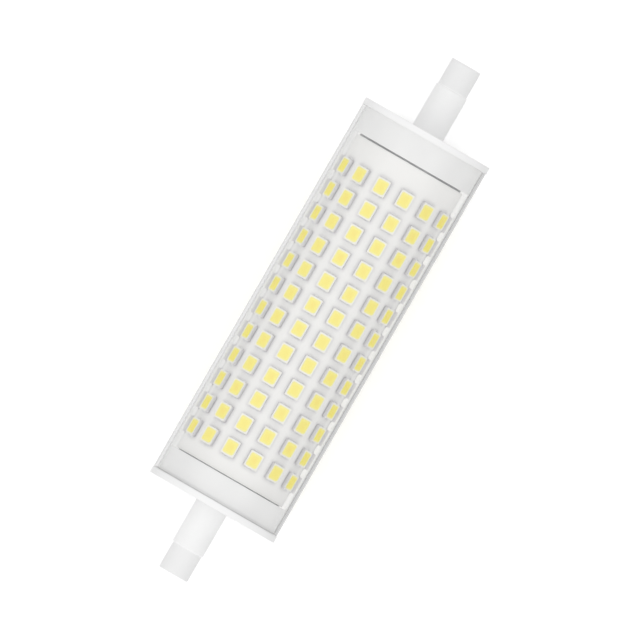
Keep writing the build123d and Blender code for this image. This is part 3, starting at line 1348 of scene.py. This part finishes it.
@dataclass
class LedField:
    """All the LEDs, in rows along the lamp and columns round it."""

    package: LedPackage = field(default_factory=LedPackage)
    row_count: int = 12
    column_count: int = 14
    column_angle: float = 24.0
    columns_a_reel: int = 2
    seed: int = 7
    turn_spread: float = 0.5
    shift_spread: float = 0.03 * MM
    foot_room: float = 0.02 * MM
    rim_finish: MouldedPlastic = MouldedPlastic("led_white", (0.92, 0.91, 0.84), (0.88, 0.87, 0.81),
                                                gloss=(0.4, 0.55), cloud_scale=700.0)
    # The walls' greys are painted shade on white moulding.
    shaded_wall_finish: ShadedLedWall = ShadedLedWall("led_wall_painted_shade", (0.76, 0.752, 0.758), (0.6, 0.593, 0.602))
    fill_finish: YellowPhosphor = YellowPhosphor("phosphor", (0.985, 0.885, 0.245), (0.97, 0.865, 0.135),
                                                 (0.985, 0.8, 0.22), (0.97, 0.91, 0.42))
    solder_finish: SolderFinish = SolderFinish("led_solder")

    def row_places(self) -> list[float]:
        """Finds the places of the rows' middles along the lamp, from the frame's own LEDs.

        Returns:
            The places, from the right end on.
        """
        low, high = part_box("led_housings")
        first = high[0] - self.package.length / 2
        last = low[0] + self.package.length / 2
        pitch = (first - last) / (self.row_count - 1)
        return [first - pitch * n for n in range(self.row_count)]

    def places(self) -> list[Matrix]:
        """Finds the place of each LED's foot, each a hair off its true one as pick-and-place leaves it.

        Returns:
            The places, column by column.
        """
        _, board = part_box("led_board")
        draw = random.Random(self.seed)
        found = []
        for column in range(self.column_count):
            angle = math.radians((column - (self.column_count - 1) / 2) * self.column_angle)
            for along in self.row_places():
                shift = Vector((draw.uniform(-1, 1), draw.uniform(-1, 1), 0)) * self.shift_spread
                turn = math.radians(draw.uniform(-1, 1) * self.turn_spread)
                foot = Vector((0, 0, board[2] + self.foot_room)) + shift
                found.append(Matrix.Translation((along, 0, 0)) @ Matrix.Rotation(angle, 4, "X")
                             @ Matrix.Translation(foot) @ Matrix.Rotation(turn, 4, "Z"))
        return found

    def reel(self, column: int) -> float:
        """Tells which of two reels of slightly different yellow fed a column."""
        from_front = abs(column - (self.column_count - 1) / 2)
        return float(int(from_front / self.columns_a_reel) % 2)

    def build(self) -> list[bpy.types.Object]:
        """Builds the housings, their phosphor and their solder.

        Returns:
            The three pieces.
        """
        draw = random.Random(self.seed + 1)
        housing, fill, solder = bmesh.new(), bmesh.new(), bmesh.new()
        fill.verts.layers.float_vector.new(WINDOW)
        for layer in (LOT, REEL):
            fill.verts.layers.float.new(layer)
        for index, place in enumerate(self.places()):
            self.package.add_housing(housing, place)
            self.package.add_fill(fill, place, draw.random(), self.reel(index // self.row_count))
            self.package.add_terminals(solder, place)
        bmesh.ops.recalc_face_normals(solder, faces=solder.faces)
        shells = finish_mesh("led_mouldings", housing, [self.rim_finish, self.shaded_wall_finish], 30.0)
        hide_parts("led_housings")
        fills = finish_mesh("led_windows", fill, [self.fill_finish], 40.0)
        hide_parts("led_phosphors")
        joints = finish_mesh("led_solder", solder, [self.solder_finish], 50.0)
        return [shells, fills, joints]


@dataclass
class RolledBoard:
    """The white board, rolled to a tube with its seam at the back, and the solder at its pins."""

    thickness: float = 0.55 * MM
    seam_gap: float = 1.5 * MM
    edge: float = 0.06 * MM
    edge_steps: int = 2
    segments: int = 240
    stations: int = 16
    bare: Colour = (0.905, 0.9, 0.887)
    # Tone over the columns: partly the copper's own grey, partly painted shade between the LEDs.
    copper_and_painted_shade: Colour = (0.842, 0.837, 0.826)
    # Colour of the painted shade round each LED's foot.
    painted_foot_shade: Colour = (0.75, 0.742, 0.752)
    dome_radius: float = 1.225 * MM
    dome_tip: float = 0.02 * MM
    dome_height: float = 0.62 * MM
    dome_sink: float = 0.03 * MM
    dome_rings: int = 9
    dome_steps: int = 40
    dome_fall: float = 1.6
    dome_rise: float = 0.75
    lobes: int = 3
    lobe_share: float = 0.05
    lobe_turn: float = 900.0
    solder_finish: SolderFinish = SolderFinish("pin_solder", (0.7, 0.7, 0.71), (0.46, 0.46, 0.48))

    def mask(self, leds: LedField, board_radius: float) -> WhiteMask:
        """Chooses the mask for the LEDs that the board carries.

        Args:
            leds: The LEDs, whose rows and columns the copper under the mask and the painted shade follow.
            board_radius: The board's outer radius.

        Returns:
            The mask.
        """
        rows = leds.row_places()
        return WhiteMask("white_mask", self.bare, self.copper_and_painted_shade, self.painted_foot_shade, row_pitch=rows[0] - rows[1],
                         first_row=rows[0], last_row=rows[-1], column_angle=leds.column_angle,
                         column_count=leds.column_count, led_length=leds.package.length,
                         led_width=leds.package.width, board_radius=board_radius)

    def build(self, leds: LedField) -> bpy.types.Object:
        """Builds the board.

        Args:
            leds: The LEDs that it carries.

        Returns:
            The board.
        """
        low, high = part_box("led_board")
        outer = high[2]
        radii = (outer - self.thickness, outer)
        corners = sleeve_corners((low[0], high[0]), radii, self.edge, self.stations)
        outline = rounded_section(corners, self.edge_steps)
        half_gap = math.asin(self.seam_gap / 2 / outer)
        mesh_data = bmesh.new()
        sections = []
        for step in range(self.segments + 1):
            angle = half_gap - math.pi + (math.tau - 2 * half_gap) * step / self.segments
            sections.append([mesh_data.verts.new((x, radius * math.sin(angle), radius * math.cos(angle)))
                             for x, radius in outline])
        skin(mesh_data, sections)
        bmesh.ops.recalc_face_normals(mesh_data, faces=mesh_data.faces)
        piece = finish_mesh("board_sheet", mesh_data, [self.mask(leds, outer)])
        weigh_normals(piece)
        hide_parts("led_board")
        return piece

    def dome_ring(self, share: float, middle: float, board_radius: float) -> list[Place]:
        """Lists the points of one ring of a solder dome.

        Args:
            share: How far up the dome it is, from 0 to 1.
            middle: The pin's place along the lamp.
            board_radius: The board's outer radius.

        Returns:
            The points in order.
        """
        radius = self.dome_radius * (1 - share**self.dome_fall) + self.dome_tip
        rise = self.dome_height * share**self.dome_rise
        points = []
        for step in range(self.dome_steps):
            angle = math.tau * step / self.dome_steps
            reach = radius * (1 + self.lobe_share * math.sin(self.lobes * angle + middle * self.lobe_turn))
            x, y = reach * math.cos(angle), reach * math.sin(angle)
            ground = math.sqrt(board_radius**2 - y**2) - self.dome_sink
            points.append((middle + x, y, -(ground + rise)))
        return points

    def build_solder(self) -> bpy.types.Object:
        """Builds the solder domes over the two pins, at the back.

        Returns:
            The domes.
        """
        _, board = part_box("led_board")
        mesh_data = bmesh.new()
        for pin in ("positive_pin", "negative_pin"):
            low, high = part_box(pin)
            middle = (low[0] + high[0]) / 2
            shares = [level / (self.dome_rings - 1) for level in range(self.dome_rings)]
            rings = [self.dome_ring(share, middle, board[2]) for share in shares]
            skin(mesh_data, [[mesh_data.verts.new(point) for point in ring] for ring in rings])
        bmesh.ops.recalc_face_normals(mesh_data, faces=mesh_data.faces)
        piece = finish_mesh("pin_solder", mesh_data, [self.solder_finish], 60.0)
        return piece


def driver_finishes() -> dict[str, Finish]:
    """Lists the finishes of the pieces inside the board.

    Returns:
        Each node's finish, by the node's name.
    """
    tinned = WorkedMetal("tinned_pin", (0.74, 0.74, 0.76), (0.56, 0.56, 0.58), Lines.ROUND)
    can = ((0.025, 0.03, 0.05), (0.5, 0.5, 0.52))
    epoxy = ((0.03, 0.03, 0.032), (0.018, 0.018, 0.02), (0.4, 0.6))
    return {
        # The heat sink's dark grey is partly dull oxidised aluminium and partly painted shade for the slit
        # at the board's end.
        "heat_sink_tube": WorkedMetal("bare_aluminium", (0.4, 0.4, 0.41), (0.3, 0.3, 0.31)),
        "driver_sleeve": MilkyFilm("insulating_film"),
        "driver_board": CircuitBoard("green_mask"),
        "positive_pin": tinned,
        "negative_pin": tinned,
        "contact_leads": BandedBody("wire_sleeve", (0.8, 0.79, 0.75), (0.72, 0.71, 0.67), 0.4 * MM,
                                    (0.45, 0.6)),
        "fuse_resistor": BandedBody("fuse_body", (0.2, 0.4, 0.24), (0.62, 0.2, 0.1), 0.9 * MM),
        "film_capacitor": BandedBody("film_body", (0.62, 0.4, 0.06), (0.68, 0.47, 0.12), 2.4 * MM),
        "bulk_capacitor": BandedBody("can_sleeve", *can, 4.4 * MM),
        "output_capacitor": BandedBody("can_sleeve_small", *can, 2.8 * MM),
        "choke": MouldedPlastic("ferrite", (0.07, 0.07, 0.075), (0.035, 0.035, 0.038), (0.5, 0.7)),
        "bridge_rectifier": MouldedPlastic("black_epoxy", *epoxy),
        "driver_chip": MouldedPlastic("chip_epoxy", *epoxy),
        "output_diode": MouldedPlastic("diode_epoxy", *epoxy),
        "sense_resistors": MouldedPlastic("chip_ceramic", (0.05, 0.05, 0.055), (0.03, 0.03, 0.034),
                                          (0.3, 0.5)),
    }


@dataclass
class DriverDress:
    """Finishes of the pieces inside the board: metal tube, sleeve, driver board and components."""

    finishes: dict[str, Finish] = field(default_factory=driver_finishes)

    def dress(self, nodes: dict[str, bpy.types.Object]) -> list[bpy.types.Object]:
        """Gives each carried-over node its finish.

        Args:
            nodes: The frame's nodes by name.

        Returns:
            The dressed nodes.
        """
        made: dict[str, bpy.types.Material] = {}
        for name, finish in self.finishes.items():
            if finish.name not in made:
                made[finish.name] = finish.make()
            node = nodes[name]
            if not node.material_slots:
                node.data.materials.append(made[finish.name])
            for slot in node.material_slots:
                slot.material = made[finish.name]
        return [nodes[name] for name in self.finishes]


@dataclass
class Studio:
    """White paper, soft light and the camera that looks straight down on the lamp's front."""

    view_width: float = 128.49 * MM
    view_offset: Point = (0.02 * MM, -0.045 * MM)
    camera_height: float = 0.5
    camera_turn: float = -60.0
    floor_half: float = 1.2
    sky: StudioSky = StudioSky()
    key_power: float = 0.6
    key_size: float = 0.7
    key_place: Place = (0.0, 0.02, 0.8)
    card_lift: float = 0.2 * MM
    card_end: float = 27.0 * MM
    card_fade: float = 3.0 * MM
    # Painted floor shadow that the clear tube shows at its edges: where each side's card starts, and its
    # greys.
    right_card_start: float = 17.2 * MM
    right_card_greys: Range = (0.75, 0.62)
    left_card_start: float = 13.8 * MM
    left_card_greys: Range = (0.86, 0.86)
    flag_place: float = 110.0 * MM
    flag_height: float = 190.0 * MM
    flag_stretch: float = 2.0
    right_flag: Range = (0.0, 50.0 * MM)
    left_flag: Range = (0.04, 24.0 * MM)

    def build_camera(self) -> bpy.types.Object:
        """Sets the camera above the lamp's middle.

        Returns:
            The camera.
        """
        data = bpy.data.cameras.new("camera")
        data.type = "ORTHO"
        data.ortho_scale = self.view_width
        camera = bpy.data.objects.new("camera", data)
        camera.location = (*self.view_offset, self.camera_height)
        camera.rotation_euler = (0.0, 0.0, math.radians(self.camera_turn))
        bpy.context.scene.collection.objects.link(camera)
        bpy.context.scene.camera = camera
        return camera

    def build_floor(self, level: float) -> bpy.types.Object:
        """Lays the paper under the lamp.

        Args:
            level: Height of the lamp's lowest point.

        Returns:
            The floor.
        """
        paper = self._strip(self.floor_half, (-self.floor_half, level), (self.floor_half, level))
        return self._sheet("floor", [paper], PaperFloor("studio_paper"))

    def build_shadow_cards(self, level: float, half_length: float) -> list[bpy.types.Object]:
        """Lays a grey card on the floor along each side of the lamp: painted floor shadow that the clear
        tube's edges show.

        Args:
            level: Height of the floor.
            half_length: Half the tube's length.

        Returns:
            The two cards.
        """
        cards = []
        top = level + self.card_lift
        sides = (("right_shadow_card", -1.0, self.right_card_start, self.right_card_greys),
                 ("left_shadow_card", 1.0, self.left_card_start, self.left_card_greys))
        for name, side, start, greys in sides:
            lying = self._strip(half_length, (side * start, top), (side * self.card_end, top))
            finish = GreyCard(name, *greys, start, start + self.card_fade)
            cards.append(self._hide(self._sheet(name, [lying], finish)))
        return cards

    def build_flags(self, level: float, half_length: float) -> list[bpy.types.Object]:
        """Stands a dark flag at each side, lying on the floor up to its foot, for glossy faces only.

        Args:
            level: Height of the floor.
            half_length: Half the tube's length.

        Returns:
            The two flags.
        """
        flags = []
        low, high = level + self.card_lift, level + self.flag_height
        reach = self.flag_stretch * half_length
        for name, side, (grey, fade) in (("right_flag", -1.0, self.right_flag),
                                         ("left_flag", 1.0, self.left_flag)):
            near, far = side * self.card_end, side * self.flag_place
            lying = self._strip(reach, (near, low), (far, low))
            upright = self._strip(reach, (far, low), (far, high))
            finish = GreyCard(name, grey, 1.0, fade, high, upright=True)
            flag = self._hide(self._sheet(name, [lying, upright], finish))
            flag.visible_transmission = False
            flags.append(flag)
        return flags

    def build_light(self) -> None:
        """Hangs one large soft lamp and lights the room evenly."""
        data = bpy.data.lights.new("key", "AREA")
        data.shape = "DISK"
        data.size = self.key_size
        data.energy = self.key_power
        lamp = bpy.data.objects.new("key", data)
        lamp.location = self.key_place
        lamp.rotation_euler = Vector(self.key_place).to_track_quat("Z", "Y").to_euler()
        lamp.visible_glossy = False
        lamp.visible_transmission = False
        bpy.context.scene.collection.objects.link(lamp)
        self.sky.make()

    def _strip(self, half_length: float, near: Point, far: Point) -> list[Place]:
        """The corners of a flat strip along the lamp, from edges given across it and up."""
        return [(-half_length, *near), (half_length, *near), (half_length, *far), (-half_length, *far)]

    def _hide(self, card: bpy.types.Object) -> bpy.types.Object:
        """Keeps a card out of sight and out of the lamp's light and shade.

        Args:
            card: The card.

        Returns:
            The same card.
        """
        card.visible_camera = False
        card.visible_diffuse = False
        card.visible_shadow = False
        return card

    def _sheet(self, name: str, faces: Sequence[Sequence[Place]], finish: Finish) -> bpy.types.Object:
        """Makes one stage piece of flat faces.

        Args:
            name: The piece's name.
            faces: The corners of each face.
            finish: The piece's finish.

        Returns:
            The stage piece.
        """
        mesh_data = bmesh.new()
        for corners in faces:
            mesh_data.faces.new([mesh_data.verts.new(corner) for corner in corners])
        mesh = bpy.data.meshes.new(name)
        mesh_data.to_mesh(mesh)
        mesh_data.free()
        mesh.materials.append(finish.make())
        piece = bpy.data.objects.new(name, mesh)
        bpy.context.scene.collection.objects.link(piece)
        piece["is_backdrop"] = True
        return piece


def write_sizes() -> None:
    """Updates the view layer.
    """
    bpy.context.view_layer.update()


def main() -> None:
    """Loads the frame, dresses the lamp and sets the studio round it."""
    logging.basicConfig(level=logging.INFO, format="%(message)s")
    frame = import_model()
    frame_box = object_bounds()
    leds, board, tube = LedField(), RolledBoard(), ClearTube()
    pieces = [tube.build(), tube.build_seal(), EndCaps().build(), LampBases().build(), ContactPins().build()]
    pieces += leds.build()
    pieces += [board.build(leds), board.build_solder()]
    pieces += DriverDress().dress(frame["nodes"])
    for piece in pieces:
        LOG.info("piece %s: %d faces", piece.name, len(piece.data.polygons))
    studio = Studio()
    studio.build_camera()
    level = frame_box[0][2]
    half_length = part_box("clear_tube")[1][0]
    stage = [studio.build_floor(level), *studio.build_shadow_cards(level, half_length),
             *studio.build_flags(level, half_length)]
    studio.build_light()
    bpy.context.scene.view_settings.view_transform = "Standard"
    for piece in stage:
        LOG.info("stage %s", piece.name)
    write_sizes()


if __name__ == "__main__":
    main()
